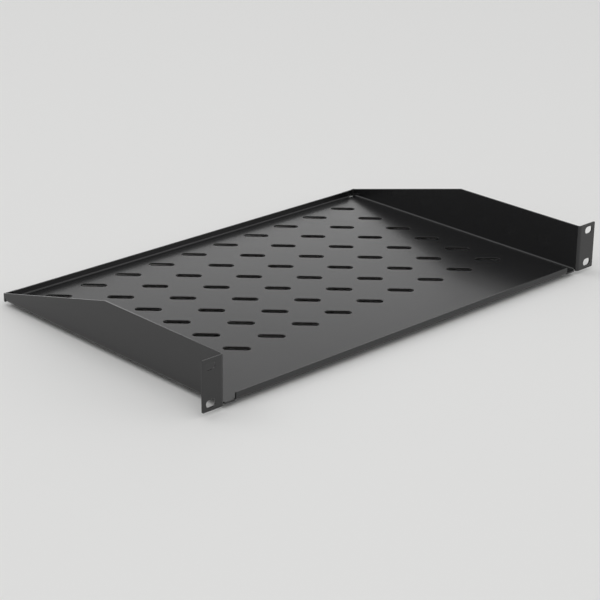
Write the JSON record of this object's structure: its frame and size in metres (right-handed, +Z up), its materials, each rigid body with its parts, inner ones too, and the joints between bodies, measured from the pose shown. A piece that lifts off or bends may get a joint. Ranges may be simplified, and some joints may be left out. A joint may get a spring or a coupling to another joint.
{
  "type": "cantilever rack shelf",
  "caption": "Vented cantilever shelf for a 19 inch rack, folded from sheet steel, with tapered side walls, slotted ears, a front lip, a low rear flange and folded-in rear tabs.",
  "frame": {"origin": "midway between the ears and midway between the ears' front face and the rear tabs' outer face, on the level of the tray's underside", "axes": "+X to the right seen from the front, +Y to the rear of the rack, +Z up; the ears face -Y"},
  "size_m": [0.4826, 0.2976, 0.0444],
  "materials": {
    "powder_coat": "satin black powder coat with a fine texture"
  },
  "bodies": {
    "root": {"shelf": "powder_coat"}
  },
  "joints": []
}
